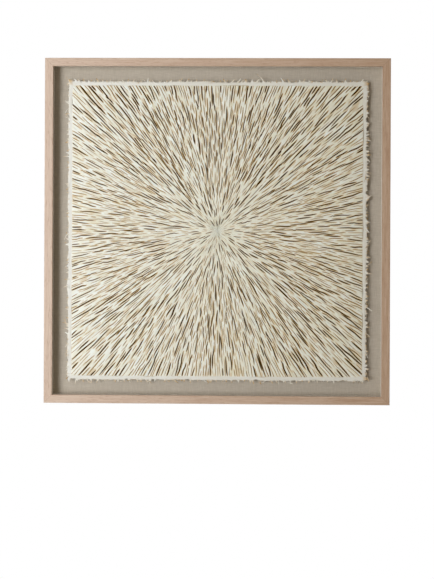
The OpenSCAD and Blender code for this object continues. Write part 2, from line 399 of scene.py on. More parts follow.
@dataclass(frozen=True)
class HandmadePaper(Finish):
    """Mulberry paper, couched by hand: cream and fibrous, tan where it is torn, with painted dark brown shade
    deep in a slit.
    """

    face: str = "#F7F8EE"
    shade: str = "#E9DFBF"
    # Tan of torn edges, also used as painted warm shade on the walls of the slits
    torn: str = "#C59428"
    # Painted shade: the dark brown laid on the floors of the slits
    painted_slit_shade: str = "#4A2E03"
    shade_span: tuple[float, float] = (0.1, 1.2)
    tan_and_warm_shade_span: tuple[float, float] = (0.05, 0.45)
    painted_shade_span: tuple[float, float] = (0.35, 0.65)
    yellowing_to_right: float = 0.16
    reach: float = 350 * MM
    fibre: float = 3 * MM
    mottle: float = 0.35
    gloss: float = 0.06
    roughness: float = 0.9
    relief: float = 0.4
    relief_h: float = 0.3 * MM

    def make(self) -> bpy.types.Material:
        """Makes the material: tone by strip, yellower to the right, tan at torn edges, painted warm shade on
        the slit walls and painted dark shade in the slits.

        Returns:
            The material.
        """
        material, tree, shader = self.start()
        strip = add(tree, "ShaderNodeAttribute", {"attribute_name": PAPER_TONE}).outputs["Fac"]
        depth = add(tree, "ShaderNodeAttribute", {"attribute_name": STAIN_AND_SHADE}).outputs["Fac"]
        fibres = self.stretched(tree, (self.fibre, self.fibre, self.fibre), detail=4.0)
        # Yellower and a little darker towards the right, across the whole sheet
        rightward_yellowing = self.sideways(tree, self.reach, -self.yellowing_to_right, self.yellowing_to_right)
        toned = add(tree, "ShaderNodeMath", {"operation": "ADD"}, {0: strip, 1: rightward_yellowing}).outputs[0]
        mottled = add(tree, "ShaderNodeMath", {"operation": "MULTIPLY_ADD", 1: self.mottle},
                      {0: fibres, 2: toned}).outputs[0]
        # The tan layer is torn-edge tan and painted warm shade on the slit walls; the dark layer is painted
        # shade in the slits
        layers = (
            (self.shade, self.shade_span, mottled),
            (self.torn, self.tan_and_warm_shade_span, depth),
            (self.painted_slit_shade, self.painted_shade_span, depth),
        )
        below = {}
        for colour, (none_at, full_at), value in layers:
            share = add(tree, "ShaderNodeMapRange", {"From Min": none_at, "From Max": full_at},
                        {"Value": value})
            mixed = add(tree, "ShaderNodeMixRGB", {"Color1": linear(self.face), "Color2": linear(colour)},
                        {"Fac": share.outputs["Result"], **below})
            below = {"Color1": mixed.outputs["Color"]}
        shader.inputs["Specular IOR Level"].default_value = self.gloss
        self.cover(tree, shader, below["Color1"], fibres)
        return material


@dataclass(frozen=True)
class Board(Finish):
    """Mount board, pressed and rolled flat: matt, with fine matted fibres that show as a soft mottle."""

    dark: str = "#D8D2C4"
    light: str = "#EAE6DB"
    dark_at: float = 0.35
    light_at: float = 0.65
    fibre: float = 4 * MM
    roughness: float = 0.85

    def make(self) -> bpy.types.Material:
        """Makes the material: a mottle of fibres with a faint relief.

        Returns:
            The material.
        """
        material, tree, shader = self.start()
        fibres = self.stretched(tree, (self.fibre, self.fibre, self.fibre), detail=5.0)
        stops = [(self.dark_at, self.dark), (self.light_at, self.light)]
        tone = add(tree, "ShaderNodeValToRGB", {"stops": stops}, {"Fac": fibres})
        self.cover(tree, shader, tone.outputs["Color"], fibres)
        return material


@dataclass(frozen=True)
class Hardboard(Board):
    """Hardboard, hot-pressed from brown wood fibres: smoother than card, with a closer mottle."""

    dark: str = "#7A5A3E"
    light: str = "#96744F"
    fibre: float = 2.5 * MM
    roughness: float = 0.6


@dataclass(frozen=True)
class Rubber(Board):
    """Bumper rubber, moulded: dark and dull, with a fine grey bloom."""

    dark: str = "#343434"
    light: str = "#424140"
    fibre: float = 1.5 * MM
    roughness: float = 0.6


@dataclass(frozen=True)
class ZincSteel(Finish):
    """Zinc-plated mild steel, pressed from strip: bright grey with cloudy patches and fine rub marks."""

    dull: str = "#A9ABAC"
    bright: str = "#D3D4D2"
    dull_at: float = 0.3
    bright_at: float = 0.7
    cloud: tuple[float, float, float] = (5 * MM, 5 * MM, 9 * MM)
    smoothest: float = 0.25
    roughest: float = 0.5

    def make(self) -> bpy.types.Material:
        """Makes the material: cloudy colour and roughness on a metal.

        Returns:
            The material.
        """
        material, tree, shader = self.start()
        clouds = self.stretched(tree, self.cloud, detail=4.0)
        stops = [(self.dull_at, self.dull), (self.bright_at, self.bright)]
        tone = add(tree, "ShaderNodeValToRGB", {"stops": stops}, {"Fac": clouds})
        rough = add(tree, "ShaderNodeMapRange", {"To Min": self.smoothest, "To Max": self.roughest},
                    {"Value": clouds})
        shader.inputs["Metallic"].default_value = 1.0
        tree.links.new(tone.outputs["Color"], shader.inputs["Base Color"])
        tree.links.new(rough.outputs["Result"], shader.inputs["Roughness"])
        return material


def only(obj: bpy.types.Object) -> None:
    """Leaves one object selected and active.

    Args:
        obj: The object.
    """
    bpy.ops.object.select_all(action="DESELECT")
    obj.select_set(True)
    bpy.context.view_layer.objects.active = obj


def grid(name: str, columns: int, rows: int) -> tuple[bpy.types.Object, np.ndarray, np.ndarray]:
    """Adds a flat grid to be shaped.

    Args:
        name: The piece's name.
        columns: Number of faces along the grid.
        rows: Number of faces across the grid.

    Returns:
        The object, and each vertex's column and row number.
    """
    bpy.ops.object.select_all(action="DESELECT")
    bpy.ops.mesh.primitive_grid_add(x_subdivisions=columns, y_subdivisions=rows, size=1.0)
    obj = bpy.context.object
    obj.name = name
    obj.data.name = name
    flat = np.zeros(len(obj.data.vertices) * 3)
    obj.data.vertices.foreach_get("co", flat)
    flat = flat.reshape(-1, 3)
    column = np.rint((flat[:, 0] + 0.5) * columns).astype(int)
    row = np.rint((flat[:, 1] + 0.5) * rows).astype(int)
    return obj, column, row


def mark(obj: bpy.types.Object, **values: np.ndarray) -> None:
    """Stores values on a mesh's vertices.

    Args:
        obj: The piece.
        values: A number for each vertex, by attribute name.
    """
    for name, numbers in values.items():
        stored = obj.data.attributes.new(name, "FLOAT", "POINT")
        stored.data.foreach_set("value", numbers.astype(np.float32))


def put(obj: bpy.types.Object, points: np.ndarray, **values: np.ndarray) -> None:
    """Moves a mesh's vertices and stores values on them.

    Args:
        obj: The piece.
        points: A place for each vertex, in metres.
        values: A number for each vertex, by attribute name.
    """
    obj.data.vertices.foreach_set("co", points.astype(np.float32).ravel())
    mark(obj, **values)
    obj.data.update()


def weld(obj: bpy.types.Object, smooth_deg: float, apart: float = 0.01 * MM) -> None:
    """Merges doubles, turns the faces outwards and smooths the shading.

    Args:
        obj: The piece.
        smooth_deg: Edges sharper than this angle stay sharp.
        apart: Vertices nearer than this become one.
    """
    only(obj)
    bpy.ops.object.mode_set(mode="EDIT")
    bpy.ops.mesh.select_all(action="SELECT")
    bpy.ops.mesh.remove_doubles(threshold=apart)
    bpy.ops.mesh.normals_make_consistent(inside=False)
    bpy.ops.object.mode_set(mode="OBJECT")
    bpy.ops.object.shade_smooth_by_angle(angle=math.radians(smooth_deg))


def close_back(obj: bpy.types.Object, back_y: float, apart: float = 0.01 * MM) -> None:
    """Draws a sheet's rim back to a plane and fills it, so that the piece is closed.

    Args:
        obj: The piece, an open sheet.
        back_y: The plane's place.
        apart: Vertices nearer than this become one first.
    """
    only(obj)
    bpy.ops.object.mode_set(mode="EDIT")
    bpy.ops.mesh.select_all(action="SELECT")
    bpy.ops.mesh.remove_doubles(threshold=apart)
    bpy.ops.mesh.select_all(action="DESELECT")
    bpy.ops.mesh.select_mode(type="EDGE")
    bpy.ops.mesh.select_non_manifold()
    bpy.ops.mesh.extrude_edges_move()
    bpy.ops.object.mode_set(mode="OBJECT")
    for vertex in obj.data.vertices:
        if vertex.select:
            vertex.co.y = back_y
    bpy.ops.object.mode_set(mode="EDIT")
    bpy.ops.mesh.edge_face_add()
    bpy.ops.mesh.select_mode(type="VERT")
    bpy.ops.object.mode_set(mode="OBJECT")


def smooth_noise(rng: np.random.Generator, shape: tuple[int, ...], span: int, axis: int = -1) -> np.ndarray:
    """Makes noise that changes slowly along one axis, with a spread of about 1.

    Args:
        rng: The random source.
        shape: Shape of the array.
        span: How many steps a swing takes.
        axis: The axis along which the noise is smooth.

    Returns:
        The noise.
    """
    window = np.hanning(span + 2)[1:-1]
    window /= np.sqrt((window ** 2).sum())

    def smoothed(line: np.ndarray) -> np.ndarray:
        """Smooths one line of the array, joined end to end."""
        return np.convolve(np.pad(line, span, mode="wrap"), window, "same")[span:-span]

    return np.apply_along_axis(smoothed, axis, rng.normal(size=shape))


def dress(obj: bpy.types.Object, material: bpy.types.Material) -> None:
    """Gives a piece one material."""
    obj.data.materials.clear()
    obj.data.materials.append(material)


@dataclass
class BoxFrame:
    """The mitred rails and the cloth-faced spacers behind their lip."""

    def dress(self) -> None:
        """Gives each rail the grain of its own length, and the spacers their cloth, paler than the panel's
        linen, partly as painted light on the inner walls.
        """
        # Spacer cloth: a lighter linen, made paler still as painted brightness for light the inner walls lack
        cloth = Linen("spacer_linen", dark="#E6DCCD", mid="#F0E7DA", light="#F8F0E4").make()
        for side in Side:
            wood = Beech(f"beech_{side.word}", grain=side.grain).make()
            dress(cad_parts[f"frame_rail_{side.word}"], wood)
            dress(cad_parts[f"spacer_{side.word}"], cloth)
            log.info("%s rail and spacer: %s, %s", side.word, wood.name, cloth.name)


@dataclass
class LinenPanel:
    """The linen stretched over the mount board."""

    cells: int = 96
    ripple: float = 0.12 * MM
    ripple_span: int = 9
    ripple_calm: float = 3
    seed: int = 5
    smooth_deg: float = 40

    def build(self) -> bpy.types.Object:
        """Builds the cloth as a thin sheet with a faint ripple, flat at the back.

        Returns:
            The cloth.
        """
        low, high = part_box("linen_cloth")
        obj, column, row = grid("linen_panel", self.cells, self.cells)
        rng = np.random.default_rng(self.seed)
        waves = smooth_noise(rng, (self.cells + 1, self.cells + 1), self.ripple_span)
        waves = (waves + smooth_noise(rng, waves.shape, self.ripple_span, 0)) / self.ripple_calm
        lift = np.clip(waves[column, row] * self.ripple, -self.ripple, self.ripple) + self.ripple
        x = low.x + (high.x - low.x) * column / self.cells
        z = low.z + (high.z - low.z) * row / self.cells
        put(obj, np.stack([x, low.y + 2 * self.ripple - lift, z], axis=1))
        close_back(obj, high.y)
        weld(obj, self.smooth_deg)
        dress(obj, Linen("greige_linen").make())
        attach(obj, BODY)
        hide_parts("linen_cloth")
        log.info("%s: %d faces", obj.name, len(obj.data.polygons))
        return obj


@dataclass
class PaperBurst:
    """The sheet of paper slit along rays from its middle, with the strips between the slits lifted.

    Rays from the middle are its lines, and squares about the middle are its rings. A span counts the rings or
    lines that a swing takes. Lengths are in metres, and those whose name ends in mm are in millimetres.
    """

    # The net of lines and rings
    lines_per_side: int = 96
    rows: int = 110
    column_at: tuple[float, ...] = (0.0, 0.2, 0.35, 0.42, 0.58, 0.65, 0.8)
    fan: float = 0.85
    fade_rows: int = 4
    foot: float = 0.85
    room_share: float = 0.45
    corner_fade: float = 30 * MM
    smooth_deg: float = 50
    seed: int = 11

    # Heights over the glue-down layer
    strip_h: float = 5.6 * MM
    rim_h: float = 3.2 * MM
    edge_h: float = 2.75 * MM
    floor_h: float = 0.6 * MM
    slope_w: float = 34 * MM
    rim_w: float = 5 * MM
    quiet_rim: float = 2 * MM
    overlap: float = 1.2 * MM
    plain_middle: float = 4.5 * MM

    # The strips between the slits
    crown: float = 0.5 * MM
    crown_share: float = 0.25
    crown_power: float = 0.6
    lip_power: int = 3
    narrowest: float = 0.01
    swing_h: float = 0.28 * MM
    swing_span: int = 21
    step_h: float = 0.3 * MM
    step_share: float = 0.11
    bow: float = 1.2 * MM

    # The slits along a line
    under_border: float = 5 * MM
    shortest: float = 18 * MM
    least_room: float = 1.2
    gap_mm: tuple[float, float] = (3, 12)
    first_inner: tuple[float, float] = (1.3, 2.2)
    first_spread: tuple[float, float] = (0.75, 1.4)
    inner_size: float = 0.55
    size_growth: float = 0.45
    full_size_at: float = 0.35
    bold_share: float = 0.25
    bold_corner: float = 0.32
    bold_odds: tuple[float, float, float] = (1.5, 0.6, 0.2)
    bold_ahead: float = 20 * MM
    crowding: float = 0.06
    crowd_span: int = 9
    tries: int = 5
    beside: int = 4
    beside_base: float = 0.6
    beside_growth: float = 0.4

    # The shape of one slit
    least_gape: float = 0.05 * MM
    lens_power: float = 2.8
    pit_power: int = 5
    deepest: float = 1.8
    slew: float = 0.08
    wander: float = 0.5 * MM
    wander_span: int = 11
    lip_mm: tuple[float, float] = (-0.3, 1.0)

    # Tone, stain and painted shade in the slits
    # Tan on a slit's lips and beside them: torn-edge tan, partly painted warm shade at the slit's edge
    torn_side_tan_and_shade: tuple[float, float] = (0.22, 0.58)
    clean_side_tan_and_shade: tuple[float, float] = (0.06, 0.3)
    lip_tan_and_shade_w: float = 1.6 * MM
    # Slits this deep get the full painted dark shade
    painted_shade_depth: float = 7.5 * MM
    white_middle: float = 18 * MM
    tone_mean: float = 0.38
    tone_swing: float = 0.18
    tone_span: int = 9
    tan_from: float = 0.8
    tan_share: float = 0.2
    tan_span: int = 7

    def __post_init__(self) -> None:
        """Takes the sheet's place from the frame and draws the slits."""
        low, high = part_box("paper_relief")
        self.half = (high.x - low.x) / 2 + self.overlap
        self.back_y = high.y
        self.lines = len(Side) * self.lines_per_side
        self.line = np.arange(self.lines)
        self.share = np.arange(self.rows + 1) / self.rows
        self.lean = 2 * (self.line % self.lines_per_side + 0.5) / self.lines_per_side - 1
        self.pitch = self.half * np.maximum(self.share, 0.5 / self.rows) / self.lines_per_side
        step = 2 * (1 - self.fan) + self.fan * np.pi / 2 / np.cos(self.lean * np.pi / 4) ** 2
        self.slant = step * np.cos(np.arctan(self.fanned(self.lean)))
        side_boldness = np.array([side.boldness for side in Side])[self.line // self.lines_per_side]
        self.boldness = side_boldness * self.slant / self.slant.max()
        self.draw_slits()

    def fanned(self, lean: np.ndarray) -> np.ndarray:
        """Turns a place on a side, from -1 to 1, into a slope, so that the rays are evenly far apart."""
        return (1 - self.fan) * lean + self.fan * np.tan(lean * np.pi / 4)

    def first_slit(self, line: int, rng: np.random.Generator) -> float:
        """Tells where a line's first slit may start, so that slits are as close together all the way out.

        Args:
            line: The line's number.
            rng: The random source.

        Returns:
            A distance from the middle.
        """
        # Every second line starts half way out, every fourth one a quarter of the way out, and so on
        share = next((1 / power for power in (2, 4, 8, 16) if line % power), 1 / 32)
        inner = self.plain_middle * rng.uniform(*self.first_inner)
        return max(inner, self.half * share * rng.uniform(*self.first_spread)) - self.plain_middle

    def steps(self, rng: np.random.Generator, shape: tuple[int, int]) -> np.ndarray:
        """Makes heights that jump where one strip ends on the next, from -1 to 1.

        Args:
            rng: The random source.
            shape: Number of lines and rings.

        Returns:
            A height for each line and ring.
        """
        jump = rng.uniform(size=shape) < self.step_share
        level = rng.uniform(-1, 1, shape)
        last = np.maximum.accumulate(np.where(jump, np.arange(shape[1]), 0), axis=1)
        return np.take_along_axis(level, last, axis=1)

    def apart(self, line: int, end: float) -> float:
        """Tells how far a slit's end is from the ends of the slits on the lines before it.

        Args:
            line: The line's number.
            end: The end's distance from the middle.

        Returns:
            The least distance, counted for more the farther off the line is.
        """
        near = [abs(other - end) * (self.beside_base + self.beside_growth * back)
                for back in range(1, self.beside + 1) for other, *_ in self.drawn[line - back]]
        return min(near, default=0.0)

    def bold_beside(self, line: int, start: float) -> int:
        """Counts the bold slits that run past a place on the two lines before.

        Args:
            line: The line's number.
            start: The place's distance from the middle.

        Returns:
            The number of bold slits.
        """
        middle = start + self.bold_ahead
        return sum(bold and begin < middle < end
                   for back in (1, 2) for end, begin, bold in self.drawn[line - back])

    def draw_slits(self) -> None:
        """Draws each line's slits from the middle outwards, and the heights and tones between them."""
        rng = np.random.default_rng(self.seed)
        shape = (self.lines, self.rows + 1)
        self.gape, self.depth, self.left_lip, self.right_lip = (np.zeros(shape) for _ in range(4))
        self.lip_tint = np.zeros((2, *shape))
        self.shift = self.wander * smooth_noise(rng, shape, self.wander_span)
        swing = smooth_noise(rng, shape, self.swing_span)
        self.warp = self.bow * smooth_noise(rng, shape, self.swing_span)
        crowd = smooth_noise(rng, (self.lines,), self.crowd_span)
        self.drawn: list[list[tuple[float, float, bool]]] = [[] for _ in range(self.lines)]
        last = self.half + self.under_border
        for line in range(self.lines):
            start = self.first_slit(line, rng)
            chance = self.bold_share + self.bold_corner * self.lean[line] ** 2 + self.crowding * crowd[line]
            while start < last - self.least_room * self.shortest:
                bold = rng.uniform() < chance * self.bold_odds[min(self.bold_beside(line, start), 2)]
                cut = (Slit.BOLD if bold else Slit.FINE).value
                grown = min(1.0, start / (self.full_size_at * self.half))
                size = self.inner_size + self.size_growth * grown
                start = min(start + rng.uniform(*self.gap_mm) * MM, last - self.shortest)
                ends = start + size * rng.uniform(*cut.length, self.tries)
                end = max(ends, key=lambda tried: self.apart(line, tried))
                end = last if end > last - self.shortest else end
                self.drawn[line].append((end, start, bold))
                self.open_slit(line, cut, size, rng)
                start = end
        log.info("paper burst: %d slits", sum(map(len, self.drawn)))
        self.strand = self.swing_h * swing + self.step_h * self.steps(rng, shape)
        whiter = np.clip(self.share * self.half / self.white_middle, 0, 1)
        self.tone = (self.tone_mean + self.tone_swing * smooth_noise(rng, shape, self.tone_span)) * whiter
        self.tan = np.clip(smooth_noise(rng, shape, self.tan_span) - self.tan_from, 0, 1) * self.tan_share

    def open_slit(self, line: int, cut: Cut, size: float, rng: np.random.Generator) -> None:
        """Opens the slit drawn last on a line: a lens with its depth, its slant and its lifted lips, tinted
        with torn-edge tan and painted warm shade.

        Args:
            line: The line's number.
            cut: The range of its sort.
            size: Its size as a share of the full size.
            rng: The random source.
        """
        end, start, _ = self.drawn[line][-1]
        place = self.share * self.half
        middle = (start + end) / 2
        span = (place - middle) / ((end - start) / 2)
        inside = np.abs(span) < 1
        off_middle = np.abs(span[inside])
        lens = 1 - off_middle ** self.lens_power
        self.gape[line, inside] = size * self.boldness[line] * rng.uniform(*cut.half_w) * lens
        self.depth[line, inside] = rng.uniform(*cut.depth) * (1 - off_middle ** self.pit_power)
        self.shift[line, inside] += rng.normal(0, self.slew) * (place[inside] - middle)
        for lip in (self.left_lip, self.right_lip):
            lip[line, inside] = rng.uniform(*self.lip_mm) * MM * lens
        # Tint of each lip: torn-edge tan, partly painted warm shade
        torn_side = rng.integers(2)
        for lip_side, tint in ((torn_side, self.torn_side_tan_and_shade), (1 - torn_side, self.clean_side_tan_and_shade)):
            self.lip_tint[lip_side, line, inside] = size * rng.uniform(*tint)

    def row_places(self, k: int) -> tuple[np.ndarray, np.ndarray]:
        """Places the columns of one ring: those of open slits at the slit, the rest spread between them.

        Args:
            k: The ring's number from the middle.

        Returns:
            Each column's place counted in lines, one row for each line, and the numbers of the open lines.
        """
        cut = np.nonzero(self.gape[:, k] > self.least_gape)[0]
        to_corner = np.minimum(cut % self.lines_per_side, -cut % self.lines_per_side) + 0.5
        room = np.zeros(0)
        if len(cut):
            gaps = np.diff(np.concatenate([[cut[-1] - self.lines], cut, [cut[0] + self.lines]]))
            room = np.minimum(np.minimum(gaps[:-1], gaps[1:]) / 2, to_corner)
        limit = self.room_share * room
        scale = 1 / (self.slant[cut] * self.pitch[k])
        half_w = np.minimum(self.gape[cut, k] * scale, limit)
        fade = np.clip(to_corner * self.pitch[k] / self.corner_fade, 0, 1)
        shift = np.clip((self.shift[cut, k] + self.warp[cut, k] * fade) * scale, -limit, limit)
        middle = cut + 0.5 + shift
        foot_w = self.foot * half_w
        target = np.stack([middle - half_w, middle - foot_w, middle + foot_w, middle + half_w], axis=1)
        return self.spread(cut, target), cut

    def spread(self, cut: np.ndarray, target: np.ndarray) -> np.ndarray:
        """Spreads a ring's columns evenly between those that have a place.

        Args:
            cut: The numbers of the placed lines.
            target: The places of their lips and feet.

        Returns:
            Each column's place counted in lines, one row for each line.
        """
        even = self.line[:, None] + np.array(self.column_at)
        corners = np.arange(len(Side) + 1) * self.lines_per_side
        knots = np.concatenate([corners, even[cut, ACROSS_SLIT].ravel()])
        targets = np.concatenate([corners, target.ravel()])
        order = np.argsort(knots)
        return np.interp(even.ravel(), knots[order], targets[order]).reshape(even.shape)

    def eased(self, places: np.ndarray) -> np.ndarray:
        """Lets the lips of a slit that has closed drift back to their even places over a few rings.

        Args:
            places: Each column's place, by ring, line and column.

        Returns:
            The eased places.
        """
        is_open = self.gape.T > self.least_gape
        eased = places.copy()
        for k in range(self.rows + 1):
            near = range(max(k - self.fade_rows, 0), min(k + self.fade_rows, self.rows) + 1)
            weights = np.stack([is_open[j] * (1 - abs(j - k) / (self.fade_rows + 1)) for j in near])
            weight = weights.max(axis=0)
            source = np.array(near)[weights.argmax(axis=0)]
            middle = places[source, self.line, LEFT_FOOT:RIGHT_FOOT + 1].mean(axis=1, keepdims=True)
            placed = places[k][:, ACROSS_SLIT]
            shut = placed * (1 - weight[:, None]) + middle * weight[:, None]
            target = np.where(is_open[k][:, None], placed, shut)
            held = np.nonzero(weight > 0)[0]
            order = np.maximum.accumulate(target[held].ravel()).reshape(-1, target.shape[1])
            eased[k] = self.spread(held, order)
        return eased

    def strip_shape(self, k: int, place: np.ndarray, cut: np.ndarray) -> tuple[np.ndarray, np.ndarray]:
        """Gives the strips between a ring's open slits their crowned tops, lifted lips, and edges tinted with
        tan and painted warm shade.

        Args:
            k: The ring's number from the middle.
            place: Each column's place counted in lines.
            cut: The numbers of the open lines.

        Returns:
            Each column's rise, and its tan tint beside the slits, partly painted warm shade, from 0 to 1.
        """
        flat = place.ravel()
        after = np.searchsorted((place[cut, LEFT_FOOT] + place[cut, RIGHT_FOOT]) / 2, flat, side="right")
        before, after = (after - 1) % len(cut), after % len(cut)
        begin = place[cut, RIGHT_LIP][before]
        width = (place[cut, LEFT_LIP][after] - begin) % self.lines
        way = (flat - begin + self.lines / 2) % self.lines - self.lines / 2
        x = np.clip(way / np.maximum(width, self.narrowest), 0, 1)
        crown = np.minimum(self.crown, self.crown_share * width * self.pitch[k])
        crown = crown * (4 * x * (1 - x)) ** self.crown_power
        lips = (self.right_lip[cut[before], k] * (1 - x) ** self.lip_power
                + self.left_lip[cut[after], k] * x ** self.lip_power)
        unit = np.repeat(self.slant, place.shape[1]) * self.pitch[k] / self.lip_tan_and_shade_w
        stain = np.maximum(self.lip_tint[1, cut[before], k] * np.clip(1 - way * unit, 0, 1),
                           self.lip_tint[0, cut[after], k] * np.clip(1 - (width - way) * unit, 0, 1))
        return (crown + lips).reshape(place.shape), stain.reshape(place.shape)

    def row_heights(self, k: int, place: np.ndarray, cut: np.ndarray) -> tuple[np.ndarray, np.ndarray]:
        """Gives the columns of one ring their heights.

        Args:
            k: The ring's number from the middle.
            place: Each column's place counted in lines.
            cut: The numbers of the open lines.

        Returns:
            Each column's height over the glue-down layer, and its colour value from 0 to 1: tan stain, and
            painted shade that darkens with the slit's depth.
        """
        from_rim = (1 - self.share[k]) * self.half
        ground = np.interp(from_rim, [0, self.rim_w, self.slope_w], [self.edge_h, self.rim_h, self.strip_h])
        quiet = min(1.0, self.share[k] * self.half / (2 * self.plain_middle), from_rim / self.quiet_rim)
        strand, after_strand = self.strand[:, k], np.roll(self.strand[:, k], -1)
        between = (strand + after_strand) / 2
        height = ground + quiet * np.stack([strand] * 3 + [between] * 2 + [after_strand] * 2, axis=1)
        depth = np.stack([self.tan[:, k]] * 4 + [np.roll(self.tan[:, k], -1)] * 3, axis=1)
        if len(cut) > 1:
            rise, stain = self.strip_shape(k, place, cut)
            height = height + quiet * rise
            depth = np.maximum(depth, stain)
        open_w = (place[:, RIGHT_LIP] - place[:, LEFT_LIP]) * self.slant * self.pitch[k]
        cut_in = np.minimum(self.depth[:, k], self.deepest * open_w)
        floor = np.maximum(self.floor_h, (height[:, LEFT_LIP] + height[:, RIGHT_LIP]) / 2 - cut_in)
        for foot in (LEFT_FOOT, RIGHT_FOOT):
            height[:, foot] = np.minimum(height[:, foot], floor)
        # Painted shade: the deeper the slit, the darker brown its walls and floor are coloured
        down = np.clip(self.depth[:, k] / self.painted_shade_depth, 0, 1)
        shade = np.stack([self.lip_tint[0, :, k], down, down, self.lip_tint[1, :, k]], axis=1)
        depth[:, ACROSS_SLIT] = np.maximum(depth[:, ACROSS_SLIT], shade)
        return np.maximum(height, self.floor_h), depth

    def build(self) -> list[bpy.types.Object]:
        """Builds the four quarters between the diagonals.

        Returns:
            The quarters.
        """
        rings = [self.row_places(k) for k in range(self.rows + 1)]
        eased = self.eased(np.array([place for place, _ in rings]))
        shaped = [self.row_heights(k, eased[k], rings[k][1]) for k in range(self.rows + 1)]
        places = eased.reshape(self.rows + 1, -1)
        heights = np.array([height.ravel() for height, _ in shaped])
        depths = np.array([depth.ravel() for _, depth in shaped])
        tones = np.repeat(self.tone.T, len(self.column_at), axis=1)
        paper = HandmadePaper("slit_mulberry_paper").make()
        columns = self.lines_per_side * len(self.column_at)
        pieces = []
        for side in Side:
            obj, column, row = grid(f"paper_burst_{side.word}", columns, self.rows)
            ring_column = (side.value * columns + column) % (len(Side) * columns)
            u = places[row, ring_column] / self.lines_per_side - side.value
            u = np.where(column == columns, 1.0, u)
            out = self.share[row] * self.half
            x, z = side.place(self.fanned(2 * u - 1) * out, out)
            points = np.stack([x, self.back_y - heights[row, ring_column], z], axis=1)
            put(obj, points, **{STAIN_AND_SHADE: depths[row, ring_column], PAPER_TONE: tones[row, ring_column]})
            close_back(obj, self.back_y)
            weld(obj, self.smooth_deg)
            dress(obj, paper)
            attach(obj, BODY)
            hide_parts("paper_relief")
            pieces.append(obj)
            log.info("%s: %d faces", obj.name, len(obj.data.polygons))
        return pieces


